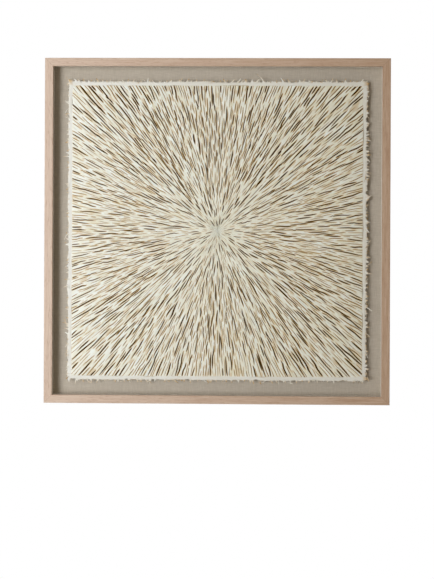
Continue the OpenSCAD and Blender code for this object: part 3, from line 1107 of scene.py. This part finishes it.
@dataclass
class TornBorder:
    """The base sheet with its torn edge and the four torn strips laid round the burst.

    A span counts the steps along an edge that a swing takes. Lengths are in metres, and those whose name ends
    in mm are in millimetres.
    """

    # The four strips
    strip_seed: int = 23
    steps: int = 260
    around: int = 14
    taper: float = 9 * MM
    slack: float = 2.4 * MM
    set_in: float = 1.1 * MM
    wave_span: int = 21
    width_swing: float = 0.12
    way_swing: float = 0.6 * MM
    thick_mean: float = 0.92
    thick_swing: float = 0.10
    crown_power: float = 0.45
    inner_h: float = 2.85 * MM
    level: float = 0.01
    ragged_mm: float = 0.7
    ragged_span: int = 3
    ragged_from: float = 0.3
    ragged_inside: float = 0.5
    strip_tone: float = 0.25
    tone_swing: float = 0.1
    stain_from: float = 0.8
    stain: float = 1.6
    strip_deg: float = 60

    # The strips' tips
    tip_thick: float = 0.25
    tip_l: float = 14 * MM
    tip_stain: float = 0.4
    lift_l: float = 24 * MM
    lift_h: float = 1.6 * MM
    hook: float = 4.5 * MM
    overhang: float = 3.0 * MM

    # The base sheet
    sheet_seed: int = 32
    tears: int = 420
    sheet_inset: float = 5 * MM
    tear_swing: float = 1.6 * MM
    tear_span: int = 7
    tear_jag: float = 1.2 * MM
    jag_span: int = 2
    tear_in: float = 4 * MM
    tear_out: float = 2 * MM
    sheet_stain: float = 0.12
    sheet_tone: float = 0.5
    sheet_deg: float = 40

    # The torn fringe
    fringe_seed: int = 63
    ply: float = 0.6 * MM
    swells: int = 90
    swell_span: int = 3
    swell_swing: float = 0.25
    swell_range: tuple[float, float] = (0.55, 1.4)
    corner_gap: float = 3 * MM
    end_sides: int = 5
    end_cuts: tuple[float, float] = (0.33, 0.66)
    end_rise: tuple[float, float] = (0.0, 0.4)
    end_fuzz: float = 0.8 * MM
    root_at: tuple[float, float] = (0.75, 0.98)
    end_stain: tuple[float, float] = (0.0, 0.45)
    end_tone: tuple[float, float] = (0.0, 0.8)
    fringe_deg: float = 70
    fringe_apart: float = 0.001 * MM

    def __post_init__(self) -> None:
        """Takes the base sheet's place and the fronts of the strips from the frame."""
        self.low, self.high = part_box("base_sheet")
        self.half = (self.high.x - self.low.x) / 2
        self.strip_front = {side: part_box(f"border_strip_{side.word}")[0].y for side in Side}

    def strip(self, side: Side, material: bpy.types.Material) -> bpy.types.Object:
        """Builds one strip: crowned, uneven in width, pointed at its ends.

        Args:
            side: The side it lies on.
            material: Its paper.

        Returns:
            The strip.
        """
        low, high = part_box(f"border_strip_{side.word}")
        rng = np.random.default_rng(self.strip_seed + side.value)
        lying = side.grain is Grain.ACROSS
        edges = (abs(low.z), abs(high.z)) if lying else (abs(low.x), abs(high.x))
        reach, inner = max(edges), min(edges)
        half_l = (high.x - low.x) / 2 if lying else (high.z - low.z) / 2
        obj, step, turn = grid(f"torn_strip_{side.word}", self.steps, self.around)

        # Along the strip
        along = np.linspace(-half_l, half_l, self.steps + 1)
        narrow = np.clip((half_l - np.abs(along)) / self.taper, 0, 1) ** 0.5
        wave = smooth_noise(rng, (3, self.steps + 1), self.wave_span)
        ragged = smooth_noise(rng, (2, self.steps + 1), self.ragged_span)
        width = (reach - inner - self.slack) * (1 + self.width_swing * wave[0])
        middle = (reach + inner) / 2 - self.set_in + self.way_swing * wave[1]
        thick = (high.y - low.y) * (self.thick_mean + self.thick_swing * wave[2])

        # Round its section
        angle = 2 * np.pi * turn / self.around
        across = np.cos(angle)
        torn_edge = np.where(across > self.ragged_from, ragged[0][step], self.ragged_inside * ragged[1][step])
        rough = torn_edge * self.ragged_mm * MM * np.abs(across)
        out = middle[step] + narrow[step] * (across * width[step] / 2 + rough)
        full = self.tip_thick + (1 - self.tip_thick) * narrow[step]
        rise = np.maximum(np.sin(angle), 0) ** self.crown_power * thick[step] * full
        seat = np.maximum(rise, self.inner_h * np.maximum(-across, 0))
        rise = np.where(np.sin(angle) > -self.level, seat, rise)

        # The end that lies over the neighbour
        to_tip = half_l - side.over_end * along if side.over_end else np.full(along.shape, half_l)
        end_lift = self.lift_h * np.clip(1 - to_tip / self.lift_l, 0, 1)[step]
        tip_share = np.clip(1 - to_tip / self.tip_l, 0, 1)[step]
        hook = self.hook * tip_share ** 2 if side is Side.LEFT else 0.0
        x, z = side.place(along[step] + side.over_end * self.overhang * tip_share, out + hook)

        frayed = 0.5 + 0.5 * np.clip(ragged[0][step], -1, 1)
        stain = np.maximum(np.abs(across) - self.stain_from, 0) * self.stain * frayed
        put(obj, np.stack([x, high.y - rise - end_lift, z], axis=1),
            **{STAIN_AND_SHADE: np.maximum(stain, self.tip_stain * tip_share),
               PAPER_TONE: self.strip_tone + self.tone_swing * wave[2][step]})
        weld(obj, self.strip_deg)
        dress(obj, material)
        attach(obj, BODY)
        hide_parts(f"border_strip_{side.word}")
        return obj

    def sheet(self, material: bpy.types.Material) -> bpy.types.Object:
        """Builds the base sheet with its torn outline.

        Args:
            material: Its paper.

        Returns:
            The sheet.
        """
        rng = np.random.default_rng(self.sheet_seed)
        bpy.ops.object.select_all(action="DESELECT")
        count = len(Side) * self.tears
        bpy.ops.mesh.primitive_circle_add(vertices=count, radius=1.0, fill_type="NGON")
        obj = bpy.context.object
        obj.name = obj.data.name = "torn_base_sheet"
        tear = (self.tear_swing * smooth_noise(rng, (count,), self.tear_span)
                + self.tear_jag * smooth_noise(rng, (count,), self.jag_span))
        tear = np.clip(tear, -self.tear_in, self.tear_out)
        half = self.half - self.sheet_inset
        number = np.arange(count)
        along = (2 * (number % self.tears) / self.tears - 1) * half
        points = np.zeros((count, 3))
        for side in Side:
            here = number // self.tears == side.value
            points[here, 0], points[here, 2] = side.place(along[here], half + tear[here])
        points[:, 1] = self.high.y
        put(obj, points)
        only(obj)
        bpy.ops.object.mode_set(mode="EDIT")
        bpy.ops.mesh.select_all(action="SELECT")
        bpy.ops.mesh.extrude_region_move(TRANSFORM_OT_translate={"value": (0, self.low.y - self.high.y, 0)})
        bpy.ops.object.mode_set(mode="OBJECT")
        corners = len(obj.data.vertices)
        stain, tone = np.full(corners, self.sheet_stain), np.full(corners, self.sheet_tone)
        mark(obj, **{STAIN_AND_SHADE: stain, PAPER_TONE: tone})
        weld(obj, self.sheet_deg)
        dress(obj, material)
        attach(obj, BODY)
        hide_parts("base_sheet")
        return obj

    def tuft(self, tip: float) -> bpy.types.Object:
        """Models one torn end: a tapered quill of unit length along z, cut across so that it can bend.

        Args:
            tip: Half width of its end, as a share of its root's width.

        Returns:
            The torn end.
        """
        bpy.ops.object.select_all(action="DESELECT")
        bpy.ops.mesh.primitive_cone_add(
            vertices=self.end_sides, radius1=0.5, radius2=tip, depth=1.0, location=(0, 0, 0.5))
        obj = bpy.context.object
        bpy.ops.object.mode_set(mode="EDIT")
        for cut_at in self.end_cuts:
            bpy.ops.mesh.select_all(action="SELECT")
            bpy.ops.mesh.bisect(plane_co=(0, 0, cut_at), plane_no=(0, 0, 1))
        bpy.ops.object.mode_set(mode="OBJECT")
        bpy.ops.object.transform_apply(location=True, rotation=True, scale=True)
        return obj

    def torn_end(
        self,
        side: Side,
        shred: Shred,
        model: bpy.types.Object,
        along: float,
        swell: float,
        rng: np.random.Generator,
    ) -> bpy.types.Object:
        """Sets a copy of a torn end on one side's outer edge, with its own length, lean and curl.

        Args:
            side: The side.
            shred: The range of its sort.
            model: The torn end that is copied.
            along: Its distance from the side's middle.
            swell: How long it is compared with its sort.
            rng: The random source.

        Returns:
            The copy, with its own mesh.
        """
        copy = model.copy()
        copy.data = model.data.copy()
        bpy.context.scene.collection.objects.link(copy)
        flat = np.array([vertex.co for vertex in model.data.vertices])
        t = flat[:, 2]
        length = rng.uniform(*shred.length) * swell
        width = rng.uniform(*shred.width)
        lean = rng.normal(0, shred.bend)
        curl = rng.normal(0, shred.bend)
        rise = rng.uniform(*self.end_rise)
        fuzz = self.end_fuzz * rng.normal(size=len(t)) * t
        out = self.half - shred.root + length * t * math.cos(lean) + fuzz
        slide = along + length * (t * math.sin(lean) + curl * t * t) + flat[:, 0] * width
        root_y = self.low.y + rng.uniform(*self.root_at) * (self.strip_front[side] - self.low.y)
        front = root_y - length * rise * t * t + flat[:, 1] * self.ply
        x, z = side.place(slide, out)
        stain = rng.uniform(*self.end_stain) * t
        tone = np.full(len(t), rng.uniform(*self.end_tone))
        put(copy, np.stack([x, front, z], axis=1), **{STAIN_AND_SHADE: stain, PAPER_TONE: tone})
        return copy

    def fringe(self, side: Side, material: bpy.types.Material) -> bpy.types.Object:
        """Sets torn ends all along one side's outer edge.

        Args:
            side: The side.
            material: Their paper.

        Returns:
            The torn ends, joined.
        """
        rng = np.random.default_rng(self.fringe_seed + side.value)
        models = {tear: self.tuft(tear.value.tip) for tear in Tear}
        swell = 1 + self.swell_swing * smooth_noise(rng, (self.swells,), self.swell_span)
        swell = np.clip(swell, *self.swell_range)
        swell_at = np.linspace(-1, 1, self.swells)
        copies = []
        for tear in Tear:
            count = round(side.fray * tear.value.count)
            for number in range(count):
                along = (2 * (number + rng.uniform()) / count - 1) * (self.half - self.corner_gap)
                here = np.interp(along / self.half, swell_at, swell)
                copies.append(self.torn_end(side, tear.value, models[tear], along, here, rng))
        for model in models.values():
            bpy.data.objects.remove(model)
        bpy.ops.object.select_all(action="DESELECT")
        for copy in copies:
            copy.select_set(True)
        bpy.context.view_layer.objects.active = copies[0]
        bpy.ops.object.join()
        obj = bpy.context.object
        obj.name = obj.data.name = f"torn_fringe_{side.word}"
        weld(obj, self.fringe_deg, self.fringe_apart)
        dress(obj, material)
        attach(obj, BODY)
        return obj

    def build(self) -> list[bpy.types.Object]:
        """Builds the sheet, the strips and their fringes.

        Returns:
            The pieces.
        """
        paper = HandmadePaper("torn_mulberry_paper", face="#EFEDE3", shade="#E2DBC8").make()
        pieces = [self.sheet(paper)]
        for side in Side:
            pieces.append(self.strip(side, paper))
            pieces.append(self.fringe(side, paper))
        for obj in pieces:
            log.info("%s: %d faces", obj.name, len(obj.data.polygons))
        return pieces


@dataclass
class BackFittings:
    """The boards behind the cloth and the steel and rubber fittings at the back."""

    def dress(self) -> None:
        """Gives the boards and fittings their finishes."""
        finishes = {
            Board("mount_card"): ("mount_board", "riser_board"),
            Hardboard("pressed_hardboard"): ("back_panel",),
            ZincSteel("zinc_plated_steel"): (
                "corner_nails", "retaining_points", "hanger_left", "hanger_right", "hanger_screws"),
            Rubber("bumper_rubber"): ("bumper_left", "bumper_right"),
        }
        for finish, nodes in finishes.items():
            material = finish.make()
            for node in nodes:
                dress(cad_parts[node], material)
                log.info("%s: %s", node, material.name)


@dataclass
class Studio:
    """The camera, the soft key light from the left, the back light, the fill and the white surround.

    The frame's middle stands raised_px pixels above the middle of the picture.
    """

    camera_at: Vector = Vector((0.062, -2.83, 0.0))
    roll_deg: float = 0.25
    focal_mm: float = 75.5
    sensor_mm: float = 36.0
    raised_px: float = 58.5
    key_at: Vector = Vector((-2.45, -3.4, -0.1))
    key_aim: Vector = Vector((-0.9, 0.0, 0.0))
    key_w: float = 1.9
    key_h: float = 3.0
    key_spread_deg: float = 58.0
    key_watts: float = 26.0
    key_colour: str = "#F4F8FF"
    fill_colour: str = "#FFF5E6"
    fill: float = 0.235
    back_at: Vector = Vector((2.2, 3.0, 1.2))
    back_size: float = 2.0
    back_watts: float = 45.0
    floor_z: float = -1.7
    floor_w: float = 14.0
    floor_colour: str = "#EDEDEB"

    def whitened(
        self,
        tree: bpy.types.NodeTree,
        lit: bpy.types.NodeSocket,
        white: bpy.types.NodeSocket,
    ) -> bpy.types.NodeSocket:
        """Shows white to the camera and to reflections, and the lit shader to all other rays.

        Args:
            tree: The node tree.
            lit: The shader that takes part in the lighting.
            white: The shader that is seen.

        Returns:
            The mixed shader.
        """
        path = add(tree, "ShaderNodeLightPath")
        gloss = add(tree, "ShaderNodeMath", {"operation": "MAXIMUM"},
                    {0: path.outputs["Is Camera Ray"], 1: path.outputs["Is Glossy Ray"]})
        seen = add(tree, "ShaderNodeMath", {"operation": "MAXIMUM"},
                   {0: gloss.outputs[0], 1: path.outputs["Is Transmission Ray"]})
        mixed = add(tree, "ShaderNodeMixShader", links={0: seen.outputs[0], 1: lit, 2: white})
        return mixed.outputs[0]

    def surround(self) -> None:
        """Makes the pale floor and the white world."""
        bpy.ops.object.select_all(action="DESELECT")
        bpy.ops.mesh.primitive_plane_add(size=self.floor_w, location=(0, 0, self.floor_z))
        floor = bpy.context.object
        floor.name = "studio_floor"
        material = bpy.data.materials.new("pale_floor")
        material.use_nodes = True
        tree = material.node_tree
        tree.nodes.clear()
        lit = add(tree, "ShaderNodeBsdfDiffuse", {"Color": linear(self.floor_colour)})
        white = add(tree, "ShaderNodeEmission", {"Color": WHITE, "Strength": 1.0})
        seen = self.whitened(tree, lit.outputs[0], white.outputs[0])
        add(tree, "ShaderNodeOutputMaterial", links={"Surface": seen})
        dress(floor, material)
        world = bpy.data.worlds.new("white_surround")
        bpy.context.scene.world = world
        world.use_nodes = True
        tree = world.node_tree
        tree.nodes.clear()
        dim = add(tree, "ShaderNodeBackground", {"Color": linear(self.fill_colour), "Strength": self.fill})
        bright = add(tree, "ShaderNodeBackground", {"Color": WHITE, "Strength": 1.0})
        seen = self.whitened(tree, dim.outputs[0], bright.outputs[0])
        add(tree, "ShaderNodeOutputWorld", links={"Surface": seen})

    def panel(
        self,
        name: str,
        at: Vector,
        aim: Vector,
        size: tuple[float, float],
        watts: float,
    ) -> bpy.types.AreaLight:
        """Hangs a soft panel light.

        Args:
            name: Its name.
            at: Its place.
            aim: The place it points to.
            size: Its width and height, in metres.
            watts: Its power.

        Returns:
            The light's data.
        """
        data = bpy.data.lights.new(name, "AREA")
        data.shape = "RECTANGLE"
        data.size, data.size_y = size
        data.energy = watts
        lamp = bpy.data.objects.new(name, data)
        bpy.context.scene.collection.objects.link(lamp)
        lamp.location = at
        lamp.rotation_euler = (aim - at).to_track_quat("-Z", "Y").to_euler()
        return data

    def lamps(self) -> None:
        """Hangs the key light, its beam narrowed so that it falls off to the right, and the back light."""
        key = self.panel("key_light", self.key_at, self.key_aim, (self.key_w, self.key_h), self.key_watts)
        key.color = linear(self.key_colour)[:3]
        key.spread = math.radians(self.key_spread_deg)
        back_size = (self.back_size, self.back_size)
        self.panel("back_light", self.back_at, Vector((0, 0, 0)), back_size, self.back_watts)

    def camera(self) -> None:
        """Sets the camera a little right of the middle, with the frame above the picture's centre."""
        data = bpy.data.cameras.new("camera")
        data.sensor_fit = "AUTO"
        data.sensor_width = self.sensor_mm
        data.lens = self.focal_mm
        data.shift_y = -self.raised_px / IMAGE_H
        camera = bpy.data.objects.new("camera", data)
        bpy.context.scene.collection.objects.link(camera)
        camera.location = self.camera_at
        camera.rotation_euler = (Vector((0, 0, 0)) - self.camera_at).to_track_quat("-Z", "Y").to_euler()
        camera.rotation_euler.rotate_axis("Z", math.radians(self.roll_deg))
        bpy.context.scene.camera = camera

    def build(self) -> None:
        """Builds the studio."""
        bpy.context.scene.view_settings.view_transform = "Standard"
        self.surround()
        self.lamps()
        self.camera()
        log.info("studio: camera at %s", tuple(round(c, 3) for c in self.camera_at))


def main() -> None:
    """Builds and dresses every piece."""
    logging.basicConfig(level=logging.INFO, format="%(name)s: %(message)s")
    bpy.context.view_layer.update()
    Studio().build()
    BoxFrame().dress()
    BackFittings().dress()
    LinenPanel().build()
    TornBorder().build()
    PaperBurst().build()


if __name__ == "__main__":
    main()
